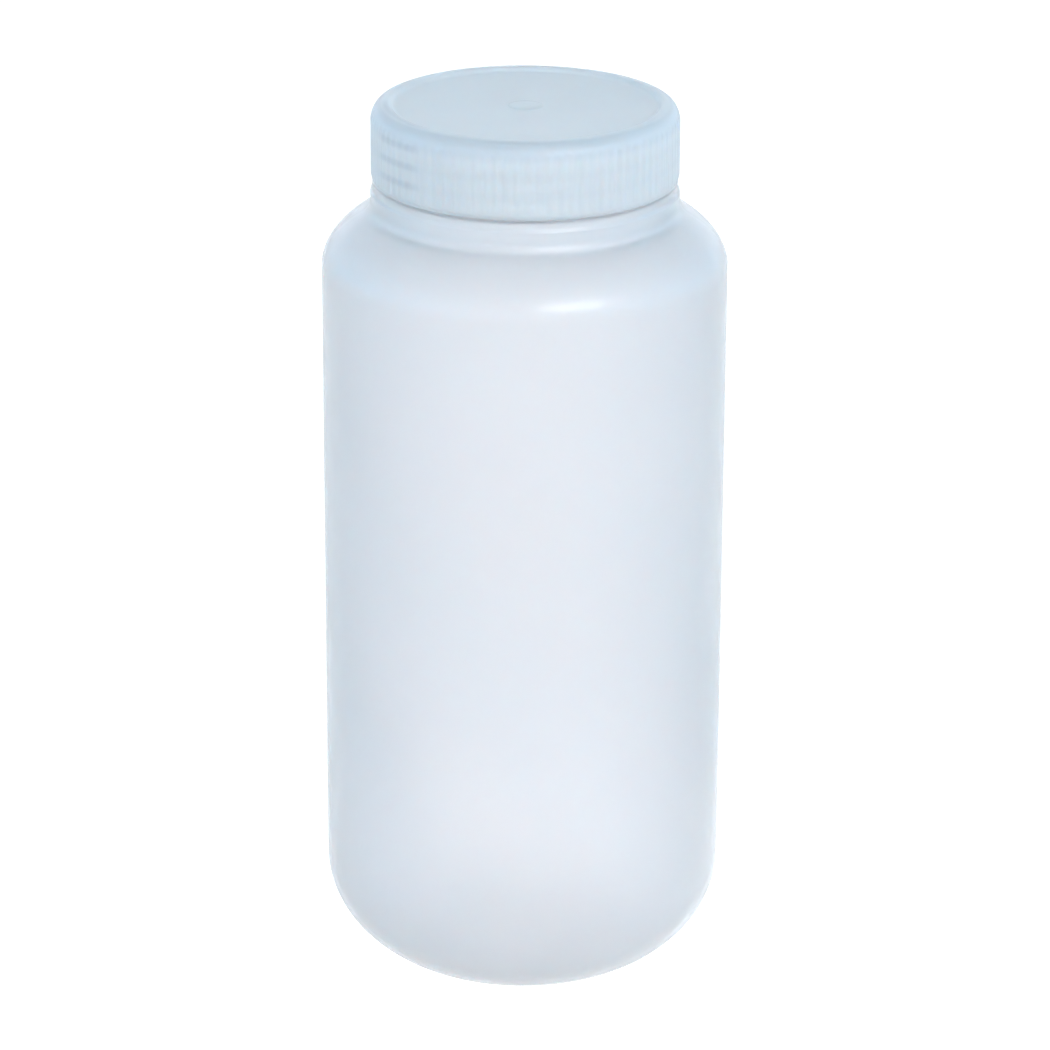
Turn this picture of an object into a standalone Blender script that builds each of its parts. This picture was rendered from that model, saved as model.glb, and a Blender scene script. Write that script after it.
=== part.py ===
"""Wide-mouth laboratory bottle in natural translucent plastic, with its ribbed screw cap.

Three separate pieces: the blow-moulded bottle, the injection-moulded cap that turns on the
bottle's thread, and the loose sealing disc that lies under the cap's lid.

Metres, +Z up. The origin is the centre of the ring that the bottle stands on, and every
piece is turned about the Z axis, which is also the axis that the cap turns and rises on.
"""

import math

import bmesh
import bpy

MM = 0.001

# Body, base and shoulder of the bottle
BODY_R = 45.5 * MM
WALL = 1.3 * MM
HEEL_RUN = 31.7 * MM  # radial half-axis of the elliptical heel
HEEL_RISE = 25.6 * MM  # vertical half-axis of the heel
HEEL_SWEEP = 60.0  # degrees of the heel ellipse before the foot arc takes over
FOOT_ARC_R = 20.0 * MM
FOOT_RING_WIDTH = 1.6 * MM
PUSH_UP = 3.0 * MM  # height of the dome under the base
BASE_WALL = 1.7 * MM
FLOOR_RISE = 3.16 * MM  # height of the floor's middle above its edge
SHOULDER_Z = 166.7 * MM  # where the straight body ends
SHOULDER_RUN = 42.2 * MM
SHOULDER_RISE = 19.3 * MM

# Collar, neck and lip
COLLAR_R = 34.55 * MM
COLLAR_TOP_Z = 184.9 * MM
COLLAR_ROUND = 0.8 * MM
COLLAR_SLOPE = 1.3 * MM  # height of the slope from the collar in to the ring
COLLAR_WALL = 1.5 * MM
RING_R = 34.05 * MM  # the step between the collar and the cap
RING_TOP_Z = 186.7 * MM
RING_EDGE = 0.3 * MM
NECK_R = 30.1 * MM
BORE_R = 27.5 * MM
LIP_Z = 199.8 * MM
LIP_ROUND = 0.7 * MM

# Screw thread, six turns to the inch, right-handed
PITCH = 25.4 * MM / 6
NECK_CREST_R = 31.3 * MM
CAP_CREST_R = 30.5 * MM
CREST_HALF = 0.5 * MM  # half the width of a thread's crest
FLANK_SLOPE = 0.5  # how much each flank widens for each unit of depth
THREAD_BITE = 0.5 * MM  # how far a thread's root is sunk in its wall
NECK_THREAD_Z = 197.9 * MM  # centre of the thread's top end
NECK_THREAD_ANGLE = 300.0  # degrees, where the top end lies
THREAD_TURNS = 2.25
THREAD_FADE = 0.125  # turns over which an end rises to full height
FADE_FLOOR = 0.2  # share of its height that a thread has at its sunk end
THREAD_NEST = 1.9 * MM  # how far the cap's thread lies below the neck's
CAP_THREAD_LEAD = 210.0  # degrees from the neck thread's top end to the cap thread's

# Cap and sealing disc
TOUCH_GAP = 0.3 * MM  # between pieces that rest on each other
CAP_R = 34.4 * MM  # over the ribs
RIB_HEIGHT = 0.35 * MM
RIB_VALLEY_HEIGHT = 0.05 * MM  # between two ribs
RIB_COUNT = 90
RIB_TOP_DROP = 2.8 * MM  # from the top of the cap to the top of the ribs
CAP_BAND = 0.6 * MM  # smooth band along the foot of the skirt
CAP_BAND_R = 34.1 * MM
CAP_BORE_R = 31.7 * MM
CAP_ROUND = 3.8 * MM  # outer edge of the lid
LID_WALL = 1.8 * MM
LID_RECESS = 0.9 * MM
RECESS_R = 29.4 * MM
RIM_INNER_R = 30.1 * MM
GATE_R = 3.9 * MM
GATE_HEIGHT = 0.6 * MM
LINER_R = 31.2 * MM
LINER_WALL = 1.0 * MM
EDGE = 0.2 * MM  # small chamfers

# Resolution
STEPS = 48  # facets round a turned piece and to each turn of thread
LONG_CURVE = 7  # segments along a heel or shoulder
CAP_CURVE = 6
SHORT_CURVE = 3
SMALL_ROUND = 2
SHARP = math.radians(35)

# Heights that follow from the sizes above
LINER_Z = LIP_Z + TOUCH_GAP
LID_UNDERSIDE_Z = LINER_Z + LINER_WALL + TOUCH_GAP
CAP_TOP_Z = LID_UNDERSIDE_Z + LID_WALL + LID_RECESS
CAP_Z = RING_TOP_Z + TOUCH_GAP
CAP_HEIGHT = CAP_TOP_Z - CAP_Z
CAP_WALL_R = CAP_R - RIB_HEIGHT


# ---------------------------------------------------------------- scene and materials
def clear_scene():
    for obj in list(bpy.data.objects):
        bpy.data.objects.remove(obj, do_unlink=True)


def new_collection(name):
    collection = bpy.data.collections.new(name)
    bpy.context.scene.collection.children.link(collection)
    return collection


def plastic(name, colour, roughness, transmission=0.0):
    """A moulded plastic: colour is linear red, green and blue."""
    material = bpy.data.materials.new(name)
    material.use_nodes = True
    shader = material.node_tree.nodes["Principled BSDF"]
    shader.inputs["Base Color"].default_value = (*colour, 1.0)
    shader.inputs["Roughness"].default_value = roughness
    shader.inputs["Metallic"].default_value = 0.0
    shader.inputs["Transmission Weight"].default_value = transmission
    return material


def bottle_plastic():
    return plastic("natural_bottle_plastic", (0.74, 0.79, 0.86), 0.38, 0.4)


def cap_plastic():
    return plastic("natural_cap_plastic", (0.60, 0.69, 0.77), 0.42, 0.4)


def liner_foam():
    return plastic("white_liner_foam", (0.84, 0.85, 0.85), 0.7)


# ---------------------------------------------------------------- profile and mesh helpers
def on_ellipse(centre, radii, angle):
    """The point of an ellipse at an angle in degrees from the outward direction."""
    turn = math.radians(angle)
    return centre[0] + radii[0] * math.cos(turn), centre[1] + radii[1] * math.sin(turn)


def arc(centre, radii, start, end, count):
    """count + 1 points of an elliptical arc between two angles in degrees."""
    return [on_ellipse(centre, radii, start + (end - start) * i / count) for i in range(count + 1)]


def fillet(start, corner, end, count=SMALL_ROUND):
    """count + 1 points of a curve that leaves start and reaches end along the lines to corner."""
    points = []
    for i in range(count + 1):
        t = i / count
        a, b, c = (1 - t) ** 2, 2 * t * (1 - t), t**2
        points.append(tuple(a * p + b * q + c * r for p, q, r in zip(start, corner, end)))
    return points


def new_object(name, mesh, collection, z=0.0):
    obj = bpy.data.objects.new(name, mesh)
    obj.location = (0, 0, z)
    collection.objects.link(obj)
    return obj


def turned(name, profile, collection, z=0.0):
    """A solid of revolution. The profile starts and ends on the axis and runs down its outer side."""
    mesh = bpy.data.meshes.new(name)
    edges = [(i, i + 1) for i in range(len(profile) - 1)]
    mesh.from_pydata([(r, 0, height) for r, height in profile], edges, [])
    obj = new_object(name, mesh, collection, z)
    screw = obj.modifiers.new("turn", "SCREW")
    screw.steps = STEPS
    screw.render_steps = STEPS
    screw.use_merge_vertices = True
    screw.merge_threshold = 0.01 * MM
    return obj


def loft(name, sections, closed, collection, z=0.0):
    """A closed solid through four-cornered sections, joined in a ring or capped at its ends."""
    bm = bmesh.new()
    rows = [[bm.verts.new(point) for point in section] for section in sections]
    following = rows[1:] + rows[:1] if closed else rows[1:]
    for row, after in zip(rows, following):
        for i in range(len(row)):
            k = (i + 1) % len(row)
            bm.faces.new((row[i], row[k], after[k], after[i]))
    if not closed:
        bm.faces.new(rows[0])
        bm.faces.new(rows[-1])
    bmesh.ops.recalc_face_normals(bm, faces=bm.faces)
    mesh = bpy.data.meshes.new(name)
    bm.to_mesh(mesh)
    bm.free()
    helper = new_object(name, mesh, collection, z)
    helper.hide_render = True
    helper.display_type = "WIRE"
    return helper


def around(angle, outline):
    """Points (radius, height) turned to an angle in degrees."""
    c, s = math.cos(math.radians(angle)), math.sin(math.radians(angle))
    return [(r * c, r * s, height) for r, height in outline]


def join(obj, helper):
    union = obj.modifiers.new(helper.name, "BOOLEAN")
    union.operation = "UNION"
    union.solver = "EXACT"
    union.object = helper


def finish(obj, material):
    """Makes the modifiers' result the object's own mesh, and shades it smooth between sharp edges."""
    bpy.context.view_layer.update()
    evaluated = obj.evaluated_get(bpy.context.evaluated_depsgraph_get())
    mesh = bpy.data.meshes.new_from_object(evaluated)
    mesh.name = obj.name
    obj.modifiers.clear()
    obj.data = mesh
    mesh.shade_smooth()
    mesh.set_sharp_from_angle(angle=SHARP)
    mesh.materials.clear()
    mesh.materials.append(material)
    return obj


def thread_ridge(name, root_r, crest_r, top_z, top_angle, collection, z=0.0):
    """A right-hand helical ridge between two radii, from its top end down, sunk at both ends."""
    sections = []
    for i in range(round(THREAD_TURNS * STEPS) + 1):
        along = i / STEPS
        rise = min(1.0, along / THREAD_FADE, (THREAD_TURNS - along) / THREAD_FADE)
        crest = root_r + (crest_r - root_r) * (FADE_FLOOR + (1 - FADE_FLOOR) * rise)
        crest_half = CREST_HALF + abs(crest_r - crest) * FLANK_SLOPE
        root_half = CREST_HALF + abs(crest_r - root_r) * FLANK_SLOPE
        height = top_z - PITCH * along
        outline = [
            (root_r, height + root_half),
            (crest, height + crest_half),
            (crest, height - crest_half),
            (root_r, height - root_half),
        ]
        sections.append(around(top_angle - 360.0 * along, outline))
    return loft(name, sections, False, collection, z)


# ---------------------------------------------------------------- bottle
def shoulder_centre():
    return BODY_R - SHOULDER_RUN, SHOULDER_Z


def shoulder_angle(radius, run):
    """Degrees along a shoulder ellipse of the given radial half-axis at which it has this radius."""
    return math.degrees(math.acos((radius - shoulder_centre()[0]) / run))


def on_shoulder(radius):
    """The point of the shoulder's outer side at a radius."""
    angle = shoulder_angle(radius, SHOULDER_RUN)
    return on_ellipse(shoulder_centre(), (SHOULDER_RUN, SHOULDER_RISE), angle)


def heel_slope():
    """Degrees from level at which the heel ellipse ends."""
    steepness = HEEL_RISE / HEEL_RUN / math.tan(math.radians(HEEL_SWEEP))
    return math.degrees(math.atan(steepness))


def heel_centre():
    drop = FOOT_ARC_R * (1 - math.cos(math.radians(heel_slope())))
    return BODY_R - HEEL_RUN, drop + HEEL_RISE * math.sin(math.radians(HEEL_SWEEP))


def foot_arc_centre():
    heel_end_r = heel_centre()[0] + HEEL_RUN * math.cos(math.radians(HEEL_SWEEP))
    return heel_end_r - FOOT_ARC_R * math.sin(math.radians(heel_slope())), FOOT_ARC_R


def neck_outside():
    """From the lip down the neck and over the ring and the collar to the shoulder."""
    lip_centre = (NECK_R - LIP_ROUND, LIP_Z - LIP_ROUND)
    lip = arc(lip_centre, (LIP_ROUND, LIP_ROUND), 90, 0, SMALL_ROUND)
    root = fillet(
        (NECK_R, RING_TOP_Z + COLLAR_ROUND),
        (NECK_R, RING_TOP_Z),
        (NECK_R + COLLAR_ROUND, RING_TOP_Z),
    )
    ring = [(RING_R - RING_EDGE, RING_TOP_Z), (RING_R, RING_TOP_Z - RING_EDGE)]
    slope = [(RING_R, COLLAR_TOP_Z), (COLLAR_R, COLLAR_TOP_Z - COLLAR_SLOPE)]
    corner = on_shoulder(COLLAR_R)
    foot = fillet((COLLAR_R, corner[1] + COLLAR_ROUND), corner, on_shoulder(COLLAR_R + COLLAR_ROUND))
    return lip + root + ring + slope + foot


def body_outside():
    """From the shoulder down the body and the heel, under the foot and up to the base's centre."""
    start = shoulder_angle(COLLAR_R + COLLAR_ROUND, SHOULDER_RUN)
    top = arc(shoulder_centre(), (SHOULDER_RUN, SHOULDER_RISE), start, 0, LONG_CURVE)[1:]
    heel = arc(heel_centre(), (HEEL_RUN, HEEL_RISE), 0, -HEEL_SWEEP, LONG_CURVE)
    foot_start = heel_slope() - 90
    foot = arc(foot_arc_centre(), (FOOT_ARC_R, FOOT_ARC_R), foot_start, -90, SHORT_CURVE)[1:]
    dome_r = foot_arc_centre()[0] - FOOT_RING_WIDTH
    dome = arc((0, 0), (dome_r, PUSH_UP), 0, 90, CAP_CURVE)
    return top + heel + foot + dome[:-1] + [(0, PUSH_UP)]


def bottle_inside():
    """From the centre of the floor up the inner wall and the bore to the lip."""
    foot = foot_arc_centre()
    foot_r = FOOT_ARC_R - BASE_WALL
    floor = arc((0, BASE_WALL), (foot[0], FLOOR_RISE), 90, 0, CAP_CURVE)
    outer = arc(foot, (foot_r, foot_r), -90, heel_slope() - 90, SHORT_CURVE)[1:]
    heel_radii = (HEEL_RUN - WALL, HEEL_RISE - BASE_WALL)
    heel = arc(heel_centre(), heel_radii, -HEEL_SWEEP, 0, LONG_CURVE)[1:]
    run, rise = SHOULDER_RUN - WALL, SHOULDER_RISE - WALL
    collar_r = COLLAR_R - COLLAR_WALL
    top = arc(shoulder_centre(), (run, rise), 0, shoulder_angle(collar_r, run), LONG_CURVE)
    ceiling = RING_TOP_Z - COLLAR_WALL
    corner = COLLAR_WALL / 2
    hollow = fillet((collar_r, ceiling - corner), (collar_r, ceiling), (collar_r - corner, ceiling))
    throat = fillet((BORE_R + corner, ceiling), (BORE_R, ceiling), (BORE_R, ceiling + corner))
    lip_centre = (BORE_R + LIP_ROUND, LIP_Z - LIP_ROUND)
    lip = arc(lip_centre, (LIP_ROUND, LIP_ROUND), 180, 90, SMALL_ROUND)
    return [(0, floor[0][1])] + floor[1:] + outer + heel + top + hollow + throat + lip


def make_bottle(parts, helpers):
    bottle = turned("bottle", bottle_inside() + neck_outside() + body_outside(), parts)
    root_r = NECK_R - THREAD_BITE
    ridge = thread_ridge(
        "neck_thread_helper", root_r, NECK_CREST_R, NECK_THREAD_Z, NECK_THREAD_ANGLE, helpers
    )
    join(bottle, ridge)
    return finish(bottle, bottle_plastic())


# ---------------------------------------------------------------- cap
def cap_profile():
    """From the gate mark over the rim, down the skirt and back up to the lid's underside."""
    floor_z = CAP_HEIGHT - LID_RECESS
    gate = arc((0, floor_z), (GATE_R, GATE_HEIGHT), 90, 0, SHORT_CURVE)
    rim = [(RECESS_R, floor_z), (RIM_INNER_R, CAP_HEIGHT - EDGE)]
    round_centre = (CAP_WALL_R - CAP_ROUND, CAP_HEIGHT - CAP_ROUND)
    edge = arc(round_centre, (CAP_ROUND, CAP_ROUND), 90, 0, CAP_CURVE)
    band = [
        (CAP_WALL_R, CAP_BAND),
        (CAP_BAND_R, CAP_BAND),
        (CAP_BAND_R, EDGE),
        (CAP_BAND_R - EDGE, 0),
        (CAP_BORE_R + EDGE, 0),
        (CAP_BORE_R, EDGE),
    ]
    underside = LID_UNDERSIDE_Z - CAP_Z
    inner = [(CAP_BORE_R, underside - EDGE), (CAP_BORE_R - EDGE, underside), (0, underside)]
    return [(0, gate[0][1])] + gate[1:] + rim + edge + band + inner


def rib_ring(collection):
    """The ring of grip ribs, whose inner side is sunk in the skirt."""
    inner_r = CAP_WALL_R - THREAD_BITE
    bottom, top = CAP_BAND, CAP_HEIGHT - RIB_TOP_DROP
    sections = []
    for i in range(2 * RIB_COUNT):
        outer_r = CAP_R if i % 2 == 0 else CAP_WALL_R + RIB_VALLEY_HEIGHT
        outline = [(inner_r, bottom), (outer_r, bottom), (outer_r, top), (inner_r, top)]
        sections.append(around(180.0 * i / RIB_COUNT, outline))
    return loft("rib_ring_helper", sections, True, collection, CAP_Z)


def make_cap(parts, helpers):
    cap = turned("screw_cap", cap_profile(), parts, CAP_Z)
    lead = CAP_THREAD_LEAD / 360.0
    ridge = thread_ridge(
        "cap_thread_helper",
        CAP_BORE_R + THREAD_BITE,
        CAP_CREST_R,
        NECK_THREAD_Z - THREAD_NEST + PITCH * lead - CAP_Z,
        NECK_THREAD_ANGLE + CAP_THREAD_LEAD,
        helpers,
        CAP_Z,
    )
    join(cap, ridge)
    join(cap, rib_ring(helpers))
    return finish(cap, cap_plastic())


# ---------------------------------------------------------------- sealing disc
def make_liner(parts):
    profile = [
        (0, LINER_WALL),
        (LINER_R - EDGE, LINER_WALL),
        (LINER_R, LINER_WALL - EDGE),
        (LINER_R, EDGE),
        (LINER_R - EDGE, 0),
        (0, 0),
    ]
    return finish(turned("liner_disc", profile, parts, LINER_Z), liner_foam())


def main():
    clear_scene()
    parts = new_collection("reagent_bottle")
    helpers = new_collection("thread_and_rib_helpers")
    make_bottle(parts, helpers)
    make_cap(parts, helpers)
    make_liner(parts)


main()
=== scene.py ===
"""Looks of the wide-mouth laboratory bottle: fine moulded surfaces, translucent plastic, light.

The frame gives the bottle's, cap's and disc's places. Each fine piece is one closed surface
of revolution whose rows are modulated round the axis: by the screw thread, by the grip ribs,
by the mould's parting line and by the slight unevenness of blow moulding. Metres, +Z up.
"""

import math

import bpy
import numpy as np
from mathutils import Euler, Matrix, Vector


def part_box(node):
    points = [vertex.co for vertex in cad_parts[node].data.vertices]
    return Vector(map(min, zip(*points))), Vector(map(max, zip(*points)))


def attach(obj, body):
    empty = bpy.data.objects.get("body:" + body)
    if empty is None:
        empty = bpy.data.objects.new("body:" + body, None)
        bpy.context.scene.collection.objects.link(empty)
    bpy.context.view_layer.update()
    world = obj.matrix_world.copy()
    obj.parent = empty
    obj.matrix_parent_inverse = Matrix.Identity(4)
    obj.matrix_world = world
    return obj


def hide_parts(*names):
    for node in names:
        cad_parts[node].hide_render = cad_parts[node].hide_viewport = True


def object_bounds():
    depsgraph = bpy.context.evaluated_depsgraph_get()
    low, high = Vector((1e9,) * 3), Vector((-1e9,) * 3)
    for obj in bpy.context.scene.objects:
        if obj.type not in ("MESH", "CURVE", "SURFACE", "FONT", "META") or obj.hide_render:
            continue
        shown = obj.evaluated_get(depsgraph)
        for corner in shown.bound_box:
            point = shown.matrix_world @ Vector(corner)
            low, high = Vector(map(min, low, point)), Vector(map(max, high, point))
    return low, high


MM = 0.001

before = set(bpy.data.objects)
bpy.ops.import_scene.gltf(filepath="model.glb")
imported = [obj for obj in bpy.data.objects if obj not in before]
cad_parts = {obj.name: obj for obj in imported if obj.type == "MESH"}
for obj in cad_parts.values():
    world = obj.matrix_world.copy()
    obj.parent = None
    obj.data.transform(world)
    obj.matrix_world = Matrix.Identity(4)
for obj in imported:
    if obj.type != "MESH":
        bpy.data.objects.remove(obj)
cad_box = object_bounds()
bottle_low, bottle_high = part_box("bottle")
cap_low, cap_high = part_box("screw_cap")
liner_low, liner_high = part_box("liner_disc")

# Bottle, outside
BODY_R = bottle_high.x
HEEL_RUN = 31.7 * MM
HEEL_RISE = 25.6 * MM
HEEL_SWEEP = 60.0  # degrees
FOOT_ARC_R = 20.0 * MM
FOOT_RING_WIDTH = 1.6 * MM
PUSH_UP = 3.0 * MM
SHOULDER_Z = 166.7 * MM
SHOULDER_RUN = 42.2 * MM
SHOULDER_RISE = 19.3 * MM
COLLAR_R = 34.55 * MM
COLLAR_TOP_Z = 184.9 * MM
COLLAR_SLOPE = 1.3 * MM
COLLAR_FOOT = 2.5 * MM
RING_R = 34.05 * MM
RING_TOP_Z = 186.7 * MM
RING_EDGE = 0.25 * MM
NECK_ROOT = 1.0 * MM
NECK_R = 30.1 * MM
BORE_R = 27.5 * MM
LIP_Z = bottle_high.z
LIP_ROUND = 0.9 * MM
PARTING_WIDTH = 0.9 * MM
PARTING_HEIGHT = 0.06 * MM

# Bottle, inside
WALL = 1.3 * MM
BASE_WALL = 1.7 * MM
COLLAR_WALL = 1.5 * MM
RING_WALL = 0.4 * MM
CEILING_WALL = 1.5 * MM
UNEVENNESS = 0.18 * MM

# Thread
PITCH = 25.4 * MM / 6
NECK_CREST_R = 31.3 * MM
NECK_THREAD_Z = 197.9 * MM
NECK_THREAD_ANGLE = math.radians(300)
THREAD_TURNS = 2.25
THREAD_FADE = 0.11  # turns
THREAD_BASE_HALF = 1.15 * MM
THREAD_CREST_HALF = 0.4 * MM
THREAD_NEST = 1.9 * MM
CAP_CREST_R = 30.5 * MM
CAP_THREAD_LEAD = math.radians(210)

# Cap
CAP_R = cap_high.x
SKIRT_REACH = 0.2 * MM  # how far the skirt goes below its place, down to the ring
CAP_Z = cap_low.z - SKIRT_REACH
CAP_FOOT_ROUND = 0.15 * MM
CAP_TOP_Z = cap_high.z
RIB_HEIGHT = 0.22 * MM
RIB_COUNT = 90
RIB_TOP_Z = CAP_TOP_Z - 1.7 * MM
RIB_FADE = 1.0 * MM
CAP_BAND = 0.6 * MM
CAP_BAND_R = 34.1 * MM
CAP_BORE_R = 31.7 * MM
CAP_ROUND = 3.8 * MM
LID_RECESS = 0.9 * MM
LID_UNDERSIDE_Z = liner_high.z + 0.3 * MM
RECESS_R = 29.4 * MM
RIM_R = 30.7 * MM
GATE_R = 3.9 * MM
GATE_HEIGHT = 0.6 * MM

# Sealing disc
DENT_DEPTH = 0.12 * MM

# Plastic
PLASTIC_IOR = 1.49
PLASTIC_HAZE = 1.0
HAZE_REACH = 1.5 * MM
SKIN_ROUGHNESS = 0.2
DEPTH_TINT = (0.4, 0.75, 0.97)
BOTTLE_PALE = (0.975, 0.915, 0.905)
BOTTLE_DEEP = (0.97, 0.91, 0.90)
# neutral grey mixed into the collar and ring as painted shade below the cap
BOTTLE_PAINTED_SHADE = (0.88, 0.88, 0.885)
BOTTLE_ROUGHNESS = 0.42
BOTTLE_CLARITY = 0.775  # share of light that goes through instead of scattering back
BOTTLE_DENSITY = 85.0
BOTTLE_GLOSS = 0.62
CAP_PALE = (0.87, 0.905, 0.935)
CAP_DEEP = (0.865, 0.90, 0.93)
CAP_ROUGHNESS = 0.42
CAP_CLARITY = 0.6
CAP_DENSITY = 20.0
CAP_GLOSS = 0.0
# dark blue-grey mixed into the cap's colour for its painted shade and painted dark reflection
CAP_PAINTED_SHADE = (0.42, 0.48, 0.54)
# how much the cap's rounded corner is darkened: partly the richer tint of its thicker plastic,
# partly painted shade
CORNER_PAINTED_SHADE = 0.22
# strength of a painted dark reflection along one side of the lid's rim crest
RIM_PAINTED_REFLECTION = 0.25
# strength of the painted shade of the thread seen through the skirt
THREAD_PAINTED_SHADE = 0.28
THREAD_PAINTED_SHADE_LIFT = 1.9 * MM  # how far up the skirt the painted shade of the thread behind it is drawn
RIM_PAINTED_REFLECTION_SIDE = 203  # degrees round the lid, from its right side, where the painted dark reflection on the rim crest is centred
THREAD_PAINTED_SHADE_SIDE = 214  # degrees round the skirt, from its right side, where the painted shade of the thread is strongest
FOAM_PALE = (0.84, 0.86, 0.87)
FOAM_DEEP = (0.78, 0.80, 0.82)

# Studio
HORIZON = (1.59, 1.60, 1.71)
FLANK = (1.28, 1.98, 2.56)
ZENITH = (0.60, 0.70, 0.74)
FLOOR_ALBEDO = 0.35
FLOOR_GLOW = 0.77
SPOT_GLOW = 0.5  # extra light from the floor under and round the bottle
SPOT_RADIUS = 0.12
SPOT_CENTRE = (0.02, 0.045)
KEY_POWER = 9.0
KEY_PLACE = (0.75, -1.35, 0.95)
KEY_TARGET = (0, 0, 0.12)
KEY_SIZE = (0.9, 0.5)
CAMERA_PLACE = (0, -1.0285, 0.4856)
CAMERA_TARGET = (0.0003, 0, 0.1041)
CAMERA_ROLL = math.radians(0.24)
FOCAL_LENGTH = 164.4  # millimetres, on a sensor 36 mm wide

# Mesh density
BOTTLE_SEGMENTS = 288
CAP_SEGMENTS = 8 * RIB_COUNT
LINER_SEGMENTS = 192


# ---------------------------------------------------------------- profiles
def arc(centre, radii, start, end, count):
    """count + 1 points of an elliptical arc, angles in degrees from the outward direction."""
    angles = np.radians(np.linspace(start, end, count + 1))
    return [(centre[0] + radii[0] * math.cos(a), centre[1] + radii[1] * math.sin(a)) for a in angles]


def fillet(start, corner, end, count):
    """count + 1 points of a curve that leaves start and reaches end along the lines to corner."""
    points = []
    for i in range(count + 1):
        t = i / count
        a, b, c = (1 - t) ** 2, 2 * t * (1 - t), t**2
        points.append(tuple(a * p + b * q + c * r for p, q, r in zip(start, corner, end)))
    return points


def stretch(start, end, count):
    """The points between start and end, both left out, that cut the line into count parts."""
    return [
        tuple(p + (q - p) * i / count for p, q in zip(start, end)) for i in range(1, count)
    ]


def smooth(x):
    x = np.clip(x, 0.0, 1.0)
    return x * x * (3 - 2 * x)


def waves(angle, z, seed, size):
    """A slow unevenness over a turned surface, between about -size and size."""
    rng = np.random.default_rng(seed)
    total = np.zeros(np.broadcast(angle, z).shape)
    for _ in range(9):
        turns, length = rng.integers(1, 6), rng.uniform(40, 130) * MM
        total = total + np.sin(turns * angle + math.tau * z / length + rng.uniform(0, math.tau))
    return size * total / 4.0


def thread(angle, z, top_z, top_angle, rise):
    """How far a right-hand thread stands out at each angle and height."""
    height = np.zeros(np.broadcast(angle, z).shape)
    for lap in range(-4, 4):
        along = (top_angle - angle) / math.tau + lap
        off = np.abs(z - (top_z - PITCH * along))
        flank = smooth((THREAD_BASE_HALF - off) / (THREAD_BASE_HALF - THREAD_CREST_HALF))
        end = smooth(np.minimum(along, THREAD_TURNS - along) / THREAD_FADE)
        height = np.maximum(height, rise * flank * end)
    return height


# ---------------------------------------------------------------- meshes
def revolve(name, profile, segments, radius_change=None):
    """A closed surface of revolution. The profile starts and ends on the axis."""
    rings = np.array(profile[1:-1])
    angle = np.arange(segments) * math.tau / segments
    radii = np.repeat(rings[:, :1], segments, axis=1)
    if radius_change:
        radii = radii + radius_change(angle[None, :], rings[:, :1], rings[:, 1:])
    x, y = radii * np.cos(angle), radii * np.sin(angle)
    z = np.repeat(rings[:, 1:], segments, axis=1)
    points = np.stack([x, y, z], axis=2).reshape(-1, 3)
    first, last = len(points), len(points) + 1
    points = np.vstack([points, (0, 0, profile[0][1]), (0, 0, profile[-1][1])])
    column = np.arange(segments)
    after = (column + 1) % segments
    faces = []
    for row in range(len(rings) - 1):
        a, b = row * segments, (row + 1) * segments
        faces += np.stack([a + column, b + column, b + after, a + after], axis=1).tolist()
    faces += np.stack([column, after, np.full(segments, first)], axis=1).tolist()
    end = (len(rings) - 1) * segments
    faces += np.stack([end + after, end + column, np.full(segments, last)], axis=1).tolist()
    mesh = bpy.data.meshes.new(name)
    mesh.from_pydata(points.tolist(), [], faces)
    mesh.validate()
    mesh.shade_smooth()
    obj = bpy.data.objects.new(name, mesh)
    bpy.context.scene.collection.objects.link(obj)
    return obj


def shoulder_angle(radius, run):
    return math.degrees(math.acos((radius - (BODY_R - SHOULDER_RUN)) / run))


HEEL_SLOPE = math.degrees(math.atan(HEEL_RISE / HEEL_RUN / math.tan(math.radians(HEEL_SWEEP))))
HEEL_CENTRE = (
    BODY_R - HEEL_RUN,
    FOOT_ARC_R * (1 - math.cos(math.radians(HEEL_SLOPE)))
    + HEEL_RISE * math.sin(math.radians(HEEL_SWEEP)),
)
FOOT_CENTRE = (
    HEEL_CENTRE[0]
    + HEEL_RUN * math.cos(math.radians(HEEL_SWEEP))
    - FOOT_ARC_R * math.sin(math.radians(HEEL_SLOPE)),
    FOOT_ARC_R,
)
SHOULDER = (BODY_R - SHOULDER_RUN, SHOULDER_Z)


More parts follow.
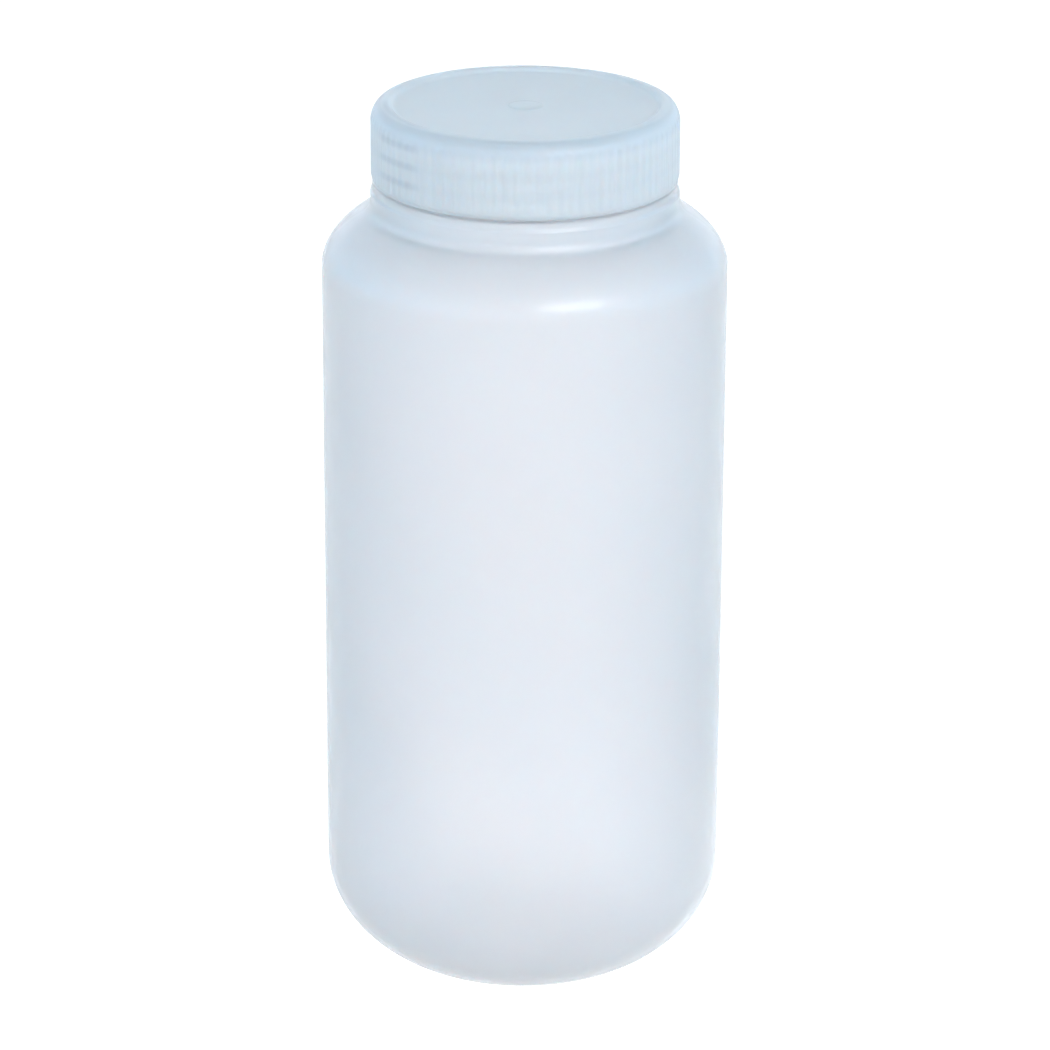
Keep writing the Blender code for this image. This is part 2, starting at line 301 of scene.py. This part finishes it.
def bottle_outside():
    """From the lip down the neck, collar, shoulder, body and heel to the base's centre."""
    lip = arc((NECK_R - LIP_ROUND, LIP_Z - LIP_ROUND), (LIP_ROUND, LIP_ROUND), 90, 0, 6)
    root = fillet(
        (NECK_R, RING_TOP_Z + NECK_ROOT),
        (NECK_R, RING_TOP_Z),
        (NECK_R + NECK_ROOT, RING_TOP_Z),
        5,
    )
    neck = stretch(lip[-1], root[0], 56)
    ring_centre = (RING_R - RING_EDGE, RING_TOP_Z - RING_EDGE)
    ring = arc(ring_centre, (RING_EDGE, RING_EDGE), 90, 0, 5)
    step = fillet(
        ring[-1],
        (RING_R, COLLAR_TOP_Z + 0.2 * MM),
        (RING_R + 0.1 * MM, COLLAR_TOP_Z - 0.2 * MM),
        5,
    )[1:]
    slope = fillet(
        step[-1],
        (COLLAR_R - 0.02 * MM, COLLAR_TOP_Z - 0.6 * COLLAR_SLOPE),
        (COLLAR_R, COLLAR_TOP_Z - COLLAR_SLOPE),
        6,
    )[1:]
    angle = shoulder_angle(COLLAR_R, SHOULDER_RUN)
    corner = arc(SHOULDER, (SHOULDER_RUN, SHOULDER_RISE), angle, angle, 1)[0]
    angle = shoulder_angle(COLLAR_R + COLLAR_FOOT, SHOULDER_RUN)
    top = arc(SHOULDER, (SHOULDER_RUN, SHOULDER_RISE), angle, 0, 30)
    foot_of_collar = fillet((COLLAR_R, corner[1] + COLLAR_FOOT), corner, top[0], 7)[:-1]
    heel = arc(HEEL_CENTRE, (HEEL_RUN, HEEL_RISE), 0, -HEEL_SWEEP, 28)
    body = stretch(top[-1], heel[0], 40)
    foot = arc(FOOT_CENTRE, (FOOT_ARC_R, FOOT_ARC_R), -90 + HEEL_SLOPE, -90, 8)[1:]
    ring_r = FOOT_CENTRE[0] - FOOT_RING_WIDTH
    rise = 0.5 * MM
    dome = arc((0, rise), (ring_r - rise, PUSH_UP - rise), 8, 90, 16)
    inner_edge = fillet((ring_r, 0), (ring_r - rise, 0), dome[0], 5)[:-1]
    collar = ring + step + slope + foot_of_collar
    return lip + neck + root + collar + top + body + heel + foot + inner_edge + dome


def bottle_inside():
    """From the centre of the floor up the inner wall and the bore to the lip."""
    foot_r = FOOT_ARC_R - BASE_WALL
    rise = 0.6 * MM
    dome = arc((0, BASE_WALL + rise), (FOOT_CENTRE[0] - rise, PUSH_UP - rise), 90, 8, 14)
    outer = arc(FOOT_CENTRE, (foot_r, foot_r), -90, -90 + HEEL_SLOPE, 8)
    valley = fillet(dome[-1], (FOOT_CENTRE[0] - rise, BASE_WALL), outer[0], 5)[1:-1]
    heel = arc(HEEL_CENTRE, (HEEL_RUN - WALL, HEEL_RISE - BASE_WALL), -HEEL_SWEEP, 0, 24)[1:]
    run, lift = SHOULDER_RUN - WALL, SHOULDER_RISE - WALL
    collar_r = COLLAR_R - COLLAR_WALL
    top = arc(SHOULDER, (run, lift), 0, shoulder_angle(collar_r + NECK_ROOT, run), 24)
    body = stretch(heel[-1], top[0], 40)
    ceiling = RING_TOP_Z - CEILING_WALL
    bend = CEILING_WALL / 2
    angle = shoulder_angle(collar_r, run)
    corner = arc(SHOULDER, (run, lift), angle, angle, 1)[0]
    into_collar = fillet(top[-1], corner, (collar_r, corner[1] + NECK_ROOT), 5)[1:]
    high = RING_TOP_Z - RING_WALL
    hollow = fillet(
        (collar_r, high - bend),
        (collar_r, high),
        (collar_r - 2 * bend, high - RING_WALL),
        5,
    )
    throat = fillet((BORE_R + bend, ceiling), (BORE_R, ceiling), (BORE_R, ceiling + bend), 5)
    lip = arc((BORE_R + LIP_ROUND, LIP_Z - LIP_ROUND), (LIP_ROUND, LIP_ROUND), 180, 90, 6)
    bore = stretch(throat[-1], lip[0], 16)
    return dome + valley + outer + heel + body + top + into_collar + hollow + throat + bore + lip


def make_bottle():
    inside, outside = bottle_inside(), bottle_outside()
    inner_rows = len(inside) - 1

    def radius_change(angle, r, z):
        row = np.arange(len(r))[:, None]
        outer = row >= inner_rows
        ridge = np.where(
            outer & (z < LIP_Z - LIP_ROUND) & (r < NECK_R + 0.01 * MM) & (z > RING_TOP_Z),
            thread(angle, z, NECK_THREAD_Z, NECK_THREAD_ANGLE, NECK_CREST_R - NECK_R),
            0.0,
        )
        walls = (z > BASE_WALL + 4 * MM) & (z < COLLAR_TOP_Z - 6 * MM)
        uneven = np.where(~outer & walls, waves(angle, z, 3, UNEVENNESS), 0.0)
        parting = np.exp(-((r * np.sin(angle) / PARTING_WIDTH * 2) ** 2)) - 1
        line = np.where(outer & (z < COLLAR_TOP_Z - 1 * MM), PARTING_HEIGHT * parting, 0.0)
        return ridge + uneven + line

    return revolve("bottle_shell", inside + outside, BOTTLE_SEGMENTS, radius_change)


# ---------------------------------------------------------------- cap and disc
def make_cap():
    floor_z = CAP_TOP_Z - LID_RECESS
    wall_r = CAP_R - RIB_HEIGHT
    gate = arc((0, floor_z), (GATE_R, GATE_HEIGHT), 90, 12, 10)
    gate_foot = fillet(gate[-1], (GATE_R, floor_z), (GATE_R + 0.7 * MM, floor_z), 4)[1:]
    crest = (RIM_R, CAP_TOP_Z)
    recess = fillet(
        (RECESS_R - 1.0 * MM, floor_z),
        (RECESS_R, floor_z),
        (RECESS_R + 0.3 * MM, floor_z + 0.35 * MM),
        4,
    )
    rim = fillet(recess[-1], (RECESS_R + 0.75 * MM, CAP_TOP_Z), crest, 6)[1:]
    edge = fillet(crest, (wall_r, CAP_TOP_Z), (wall_r, CAP_TOP_Z - CAP_ROUND), 14)[1:]
    band_top = (wall_r, CAP_Z + CAP_BAND + 0.3 * MM)
    side = stretch(edge[-1], band_top, 22)
    band = [
        band_top,
        (wall_r, CAP_Z + CAP_BAND + 0.1 * MM),
        (CAP_BAND_R - 0.05 * MM, CAP_Z + CAP_BAND),
        (CAP_BAND_R, CAP_Z + CAP_BAND - 0.15 * MM),
    ]
    foot = CAP_FOOT_ROUND
    bottom = fillet((CAP_BAND_R, CAP_Z + foot), (CAP_BAND_R, CAP_Z), (CAP_BAND_R - foot, CAP_Z), 4)
    mouth = fillet((CAP_BORE_R + foot, CAP_Z), (CAP_BORE_R, CAP_Z), (CAP_BORE_R, CAP_Z + foot), 4)
    corner = fillet(
        (CAP_BORE_R, LID_UNDERSIDE_Z - 0.5 * MM),
        (CAP_BORE_R, LID_UNDERSIDE_Z),
        (CAP_BORE_R - 0.5 * MM, LID_UNDERSIDE_Z),
        4,
    )
    inner = stretch(mouth[-1], corner[0], 50)
    outside = gate + gate_foot + recess + rim + edge + side + band + bottom
    profile = outside + mouth + inner + corner + [(0, LID_UNDERSIDE_Z)]
    outer_rows = len(outside) - 1
    lead = CAP_THREAD_LEAD
    top_z = NECK_THREAD_Z - THREAD_NEST + PITCH * lead / math.tau

    def radius_change(angle, r, z):
        row = np.arange(len(r))[:, None]
        outer = row < outer_rows
        rib = (0.5 + 0.5 * np.cos(RIB_COUNT * angle)) ** 1.2
        foot = smooth((z - (CAP_Z + CAP_BAND)) / RIB_FADE)
        head = smooth((RIB_TOP_Z - z) / (2 * RIB_FADE))
        ribs = np.where(outer & (r > CAP_BORE_R), RIB_HEIGHT * rib * foot * head, 0.0)
        inside_wall = ~outer & (r > CAP_BORE_R - 0.01 * MM) & (r < CAP_BORE_R + 0.01 * MM)
        ridge = thread(angle, z, top_z, NECK_THREAD_ANGLE + lead, CAP_BORE_R - CAP_CREST_R)
        return ribs - np.where(inside_wall, ridge, 0.0)

    return revolve("screw_cap_shell", profile, CAP_SEGMENTS, radius_change)


def make_liner():
    """The sealing disc, with the faint ring that the lip presses into its underside."""
    top, bottom, radius = liner_high.z, liner_low.z, liner_high.x
    edge = 0.25 * MM
    rim = fillet((radius - edge, top), (radius, top), (radius, top - edge), 3)
    foot = fillet((radius, bottom + edge), (radius, bottom), (radius - edge, bottom), 3)
    middle = (NECK_R + BORE_R) / 2
    dent = [
        (middle + (0.9 - 0.15 * i) * MM, bottom + DENT_DEPTH * math.sin(math.pi * i / 12))
        for i in range(13)
    ]
    profile = [(0, top), (10 * MM, top), (20 * MM, top)] + rim + foot + dent
    profile += [(20 * MM, bottom), (10 * MM, bottom), (0, bottom)]
    return revolve("liner_disc_foam", profile, LINER_SEGMENTS)


# ---------------------------------------------------------------- materials
class Nodes:
    """Short ways to build one material's nodes."""

    def __init__(self, name):
        self.material = bpy.data.materials.new(name)
        self.material.use_nodes = True
        self.tree = self.material.node_tree
        self.shader = self.tree.nodes["Principled BSDF"]
        self.output = self.tree.nodes["Material Output"]
        self.place = self.add("ShaderNodeTexCoord").outputs["Object"]

    def add(self, kind, **settings):
        node = self.tree.nodes.new(kind)
        for key, value in settings.items():
            setattr(node, key, value)
        return node

    def link(self, source, target):
        self.tree.links.new(source, target)

    def axes(self):
        split = self.add("ShaderNodeSeparateXYZ")
        self.link(self.place, split.inputs["Vector"])
        return split.outputs

    def noise(self, scale, detail, stretch_z=1.0):
        mapping = self.add("ShaderNodeMapping")
        mapping.inputs["Scale"].default_value = (1, 1, stretch_z)
        self.link(self.place, mapping.inputs["Vector"])
        noise = self.add("ShaderNodeTexNoise")
        noise.inputs["Scale"].default_value = scale
        noise.inputs["Detail"].default_value = detail
        self.link(mapping.outputs["Vector"], noise.inputs["Vector"])
        return noise.outputs["Fac"]

    def spread(self, value, low, high):
        """value, from 0.3 to 0.7, mapped to low to high."""
        node = self.add("ShaderNodeMapRange")
        node.inputs["From Min"].default_value = 0.3
        node.inputs["From Max"].default_value = 0.7
        node.inputs["To Min"].default_value = low
        node.inputs["To Max"].default_value = high
        self.link(value, node.inputs["Value"])
        return node.outputs["Result"]

    def blend(self, factor, first, second):
        node = self.add("ShaderNodeMix", data_type="RGBA")
        self.link(factor, node.inputs["Factor"])
        node.inputs["A"].default_value = (*first, 1)
        node.inputs["B"].default_value = (*second, 1)
        return node.outputs["Result"]

    def math(self, operation, *values):
        """A Math node, whose inputs are sockets or numbers."""
        node = self.add("ShaderNodeMath", operation=operation)
        for socket, value in zip(node.inputs, values):
            if isinstance(value, (int, float)):
                socket.default_value = value
            else:
                self.link(value, socket)
        return node.outputs[0]

    def step(self, value, start, end):
        """0 before start, 1 after end and smooth between them."""
        node = self.add("ShaderNodeMapRange", interpolation_type="SMOOTHSTEP")
        node.inputs["From Min"].default_value = start
        node.inputs["From Max"].default_value = end
        self.link(value, node.inputs["Value"])
        return node.outputs["Result"]

    def band(self, value, start, end, soft):
        """1 between start and end, 0 beyond a soft edge on both sides."""
        rise = self.step(value, start - soft, start + soft)
        fall = self.step(value, end - soft, end + soft)
        return self.math("SUBTRACT", rise, fall)

    def bump(self, height, distance, strength, after=None):
        node = self.add("ShaderNodeBump")
        node.inputs["Distance"].default_value = distance
        node.inputs["Strength"].default_value = strength
        self.link(height, node.inputs["Height"])
        if after:
            self.link(after, node.inputs["Normal"])
        return node.outputs["Normal"]


def painted_shade_in_bottle(nodes):
    """Painted shade on the collar and the ring, below the cap; their plastic is thicker than the
    body's.
    """
    z = nodes.axes()[2]
    return nodes.band(z, COLLAR_TOP_Z - 4 * MM, RING_TOP_Z, 0.9 * MM)


def painted_shade_in_cap(nodes):
    """Where the cap's colour is darkened: its corner, partly for the thicker plastic there and
    partly as painted shade; a painted dark reflection on one side of the rim crest; and painted
    shade of the thread behind the skirt, strongest at one side.
    """
    x, y, z = nodes.axes()
    squares = nodes.math("ADD", nodes.math("MULTIPLY", x, x), nodes.math("MULTIPLY", y, y))
    radius = nodes.math("SQRT", squares)
    angle = nodes.math("ARCTAN2", y, x)

    def near(degrees, start, end):
        turned = nodes.math("SUBTRACT", angle, math.radians(degrees))
        return nodes.step(nodes.math("COSINE", turned), start, end)

    def all_of(*masks):
        product = masks[0]
        for mask in masks[1:]:
            product = nodes.math("MULTIPLY", product, mask)
        return product

    # The rounded corner is darkened, partly as the richer tint of its thicker plastic and partly as
    # painted shade.
    top = nodes.step(z, CAP_TOP_Z - 1.4 * CAP_ROUND, CAP_TOP_Z - 0.6 * CAP_ROUND)
    corner = all_of(nodes.step(radius, RIM_R + 0.9 * MM, RIM_R + 1.9 * MM), top, CORNER_PAINTED_SHADE)
    # A painted dark reflection along the rim crest, on one side of the lid.
    crest = nodes.band(radius, RIM_R - 0.2 * MM, RIM_R + 0.9 * MM, 0.5 * MM)
    rim = all_of(crest, top, near(RIM_PAINTED_REFLECTION_SIDE, 0.88, 0.97), RIM_PAINTED_REFLECTION)

    # Painted shade of the thread behind the skirt: dark helical bands a little above the thread,
    # strongest at one side.
    start = NECK_THREAD_Z - THREAD_NEST + THREAD_PAINTED_SHADE_LIFT + PITCH * NECK_THREAD_ANGLE / math.tau
    lap = nodes.math("DIVIDE", nodes.math("SUBTRACT", z, start), PITCH)
    lap = nodes.math("SUBTRACT", lap, nodes.math("DIVIDE", angle, math.tau))
    ridge = nodes.step(nodes.math("PINGPONG", lap, 0.5), 0.3, 0.04)
    wall = nodes.step(radius, CAP_R - 1.2 * MM, CAP_R - 0.7 * MM)
    reach = nodes.band(z, CAP_Z + 1.2 * MM, CAP_TOP_Z - 1.2 * MM, 0.8 * MM)
    clear = nodes.math("MULTIPLY_ADD", near(THREAD_PAINTED_SHADE_SIDE, 0.965, 0.992), 0.9, 0.1)
    turns = all_of(ridge, wall, reach, clear, THREAD_PAINTED_SHADE)
    return nodes.math("ADD", nodes.math("ADD", corner, rim), turns)


def milky_plastic(name, pale, deep, painted_shade_colour, painted_shade_mask, roughness, clarity, density, gloss):
    """Natural polypropylene: cloudy, faintly mottled, with painted shade (and, at the cap's corner,
    a richer tint of thicker plastic) mixed into its colour where the mask marks it.
    """
    nodes = Nodes(name)
    shader = nodes.shader
    mottle = nodes.spread(nodes.noise(22, 3, 0.6), 0, 1)
    # Mixes the painted shade colour into the mottled plastic where the mask marks it.
    shaded_colour = nodes.add("ShaderNodeMix", data_type="RGBA")
    nodes.link(painted_shade_mask(nodes), shaded_colour.inputs["Factor"])
    nodes.link(nodes.blend(mottle, pale, deep), shaded_colour.inputs["A"])
    shaded_colour.inputs["B"].default_value = (*painted_shade_colour, 1)
    nodes.link(shaded_colour.outputs["Result"], shader.inputs["Base Color"])
    satin = nodes.spread(nodes.noise(55, 4), roughness - 0.03, roughness + 0.04)
    nodes.link(satin, shader.inputs["Roughness"])
    skin = nodes.bump(nodes.noise(900, 2), 0.02 * MM, 0.25)
    slow = nodes.bump(nodes.noise(16, 2, 0.5), 0.6 * MM, 0.25, skin)
    nodes.link(slow, shader.inputs["Normal"])
    shader.inputs["IOR"].default_value = PLASTIC_IOR
    shader.inputs["Transmission Weight"].default_value = clarity
    shader.inputs["Subsurface Weight"].default_value = PLASTIC_HAZE
    shader.inputs["Subsurface Radius"].default_value = (0.7, 0.9, 1.0)
    shader.inputs["Subsurface Scale"].default_value = HAZE_REACH
    shader.inputs["Coat Weight"].default_value = gloss
    shader.inputs["Coat Roughness"].default_value = SKIN_ROUGHNESS
    depth = nodes.add("ShaderNodeVolumeAbsorption")
    depth.inputs["Color"].default_value = (*DEPTH_TINT, 1)
    depth.inputs["Density"].default_value = density
    nodes.link(depth.outputs["Volume"], nodes.output.inputs["Volume"])
    return nodes.material


def bottle_plastic():
    return milky_plastic(
        "natural_bottle_plastic",
        BOTTLE_PALE,
        BOTTLE_DEEP,
        BOTTLE_PAINTED_SHADE,
        painted_shade_in_bottle,
        BOTTLE_ROUGHNESS,
        BOTTLE_CLARITY,
        BOTTLE_DENSITY,
        BOTTLE_GLOSS,
    )


def cap_plastic():
    return milky_plastic(
        "natural_cap_plastic",
        CAP_PALE,
        CAP_DEEP,
        CAP_PAINTED_SHADE,
        painted_shade_in_cap,
        CAP_ROUGHNESS,
        CAP_CLARITY,
        CAP_DENSITY,
        CAP_GLOSS,
    )


def liner_foam():
    nodes = Nodes("white_liner_foam")
    shader = nodes.shader
    nodes.link(nodes.blend(nodes.noise(400, 3), FOAM_PALE, FOAM_DEEP), shader.inputs["Base Color"])
    nodes.link(nodes.spread(nodes.noise(300, 2), 0.62, 0.75), shader.inputs["Roughness"])
    cells = nodes.add("ShaderNodeTexVoronoi")
    cells.inputs["Scale"].default_value = 1500
    nodes.link(nodes.place, cells.inputs["Vector"])
    nodes.link(nodes.bump(cells.outputs["Distance"], 0.05 * MM, 0.4), shader.inputs["Normal"])
    return nodes.material


def floor_paint():
    """Backlit white acrylic sheet, brightest under the bottle."""
    nodes = Nodes("pale_studio_floor")
    shader = nodes.shader
    white = (FLOOR_ALBEDO,) * 3
    whiter = (FLOOR_ALBEDO + 0.01,) * 3
    nodes.link(nodes.blend(nodes.noise(6, 2), white, whiter), shader.inputs["Base Color"])
    shader.inputs["Roughness"].default_value = 0.9
    shader.inputs["Specular IOR Level"].default_value = 0.1
    away = nodes.add("ShaderNodeVectorMath", operation="DISTANCE")
    nodes.link(nodes.place, away.inputs[0])
    away.inputs[1].default_value = (*SPOT_CENTRE, 0)
    glow = nodes.add("ShaderNodeMapRange", interpolation_type="SMOOTHSTEP")
    glow.inputs["From Min"].default_value = 0.0
    glow.inputs["From Max"].default_value = SPOT_RADIUS
    glow.inputs["To Min"].default_value = FLOOR_GLOW + SPOT_GLOW
    glow.inputs["To Max"].default_value = FLOOR_GLOW
    nodes.link(away.outputs["Value"], glow.inputs["Value"])
    shader.inputs["Emission Color"].default_value = (1, 1, 1, 1)
    nodes.link(glow.outputs["Result"], shader.inputs["Emission Strength"])
    return nodes.material


# ---------------------------------------------------------------- stage
def make_floor():
    mesh = bpy.data.meshes.new("studio_floor")
    half = 6.0
    corners = [(-half, -half, 0), (half, -half, 0), (half, half, 0), (-half, half, 0)]
    mesh.from_pydata(corners, [], [(0, 1, 2, 3)])
    floor = bpy.data.objects.new("studio_floor", mesh)
    floor.location.z = cad_box[0].z - 0.05 * MM
    bpy.context.scene.collection.objects.link(floor)
    mesh.materials.append(floor_paint())


def make_light(name, place, target, size, energy):
    data = bpy.data.lights.new(name, "AREA")
    data.shape = "RECTANGLE"
    data.size, data.size_y = size
    data.energy = energy
    lamp = bpy.data.objects.new(name, data)
    lamp.location = place
    lamp.rotation_euler = (Vector(target) - Vector(place)).to_track_quat("-Z", "Y").to_euler()
    bpy.context.scene.collection.objects.link(lamp)


def make_world():
    """A bright horizon, cooler at the left and right, that fades towards a darker ceiling."""
    world = bpy.data.worlds.new("studio")
    world.use_nodes = True
    tree = world.node_tree
    direction = tree.nodes.new("ShaderNodeTexCoord")
    split = tree.nodes.new("ShaderNodeSeparateXYZ")
    tree.links.new(direction.outputs["Generated"], split.inputs["Vector"])
    sideways = tree.nodes.new("ShaderNodeMath")
    sideways.operation = "POWER"
    sideways.inputs[1].default_value = 2
    tree.links.new(split.outputs["X"], sideways.inputs[0])
    level = tree.nodes.new("ShaderNodeMix")
    level.data_type = "RGBA"
    level.inputs["A"].default_value = (*HORIZON, 1)
    level.inputs["B"].default_value = (*FLANK, 1)
    tree.links.new(sideways.outputs["Value"], level.inputs["Factor"])
    shade = tree.nodes.new("ShaderNodeMix")
    shade.data_type = "RGBA"
    tree.links.new(level.outputs["Result"], shade.inputs["A"])
    shade.inputs["B"].default_value = (*ZENITH, 1)
    tree.links.new(split.outputs["Z"], shade.inputs["Factor"])
    tree.links.new(shade.outputs["Result"], tree.nodes["Background"].inputs["Color"])
    bpy.context.scene.world = world


def make_camera():
    """A long lens 1.1 m from the bottle, looking about 20 degrees down."""
    data = bpy.data.cameras.new("photo_camera")
    data.lens = FOCAL_LENGTH
    data.sensor_width = 36.0
    data.clip_start, data.clip_end = 0.05, 30
    camera = bpy.data.objects.new("photo_camera", data)
    camera.location = CAMERA_PLACE
    aim = Vector(CAMERA_TARGET) - Vector(camera.location)
    roll = Euler((0, 0, CAMERA_ROLL)).to_quaternion()
    camera.rotation_mode = "QUATERNION"
    camera.rotation_quaternion = aim.to_track_quat("-Z", "Y") @ roll
    bpy.context.scene.collection.objects.link(camera)
    bpy.context.scene.camera = camera


def dress(piece, material, body, node):
    piece.data.materials.append(material)
    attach(piece, body)
    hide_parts(node)


make_camera()
make_floor()
make_world()
make_light("key_softbox", KEY_PLACE, KEY_TARGET, KEY_SIZE, KEY_POWER)

dress(make_bottle(), bottle_plastic(), "bottle", "bottle")
dress(make_cap(), cap_plastic(), "cap", "screw_cap")
dress(make_liner(), liner_foam(), "liner", "liner_disc")

bpy.context.scene.view_settings.view_transform = "Standard"
